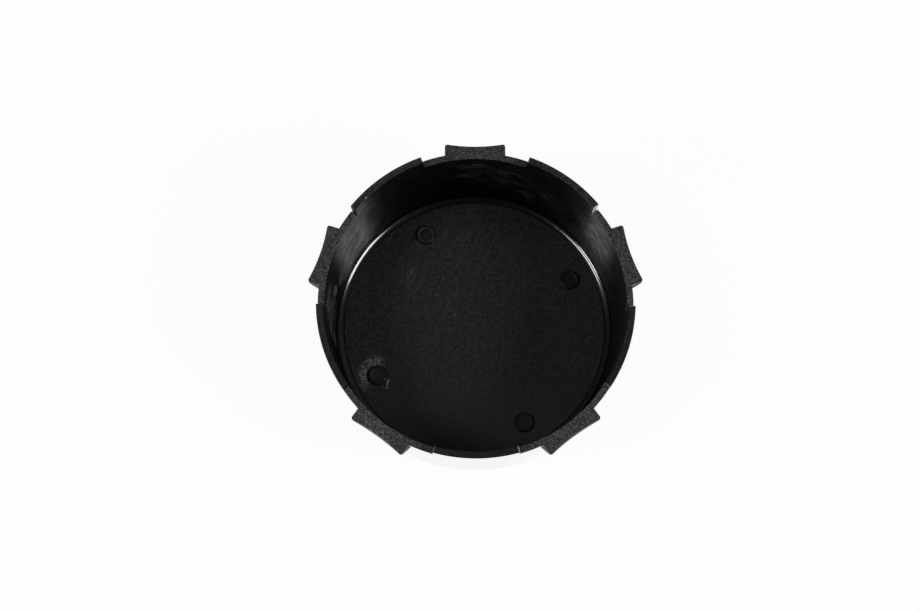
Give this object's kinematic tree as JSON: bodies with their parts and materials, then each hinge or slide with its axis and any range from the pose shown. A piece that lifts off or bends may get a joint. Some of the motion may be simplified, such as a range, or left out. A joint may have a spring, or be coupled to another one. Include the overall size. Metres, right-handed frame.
{
  "type": "wheel centre cap",
  "caption": "Deep round wheel centre cap in black moulded plastic, open at the back, with a drafted skirt whose low segments carry hollow-ended clip lugs that snap into a wheel's bore.",
  "frame": {"origin": "centre of the flat outer face, on which the cap lies with its open side up", "axes": "+Z along the cap's axis from the outer face towards the open clip side, +Y through the middle of one clip lug"},
  "size_m": [0.0634, 0.0616, 0.0256],
  "materials": {
    "black_plastic": "black moulded plastic: smooth satin wall and floor, fine spark-eroded grain on the rim and lug tops"
  },
  "bodies": {
    "root": {"cap_body": "black_plastic"}
  },
  "joints": []
}
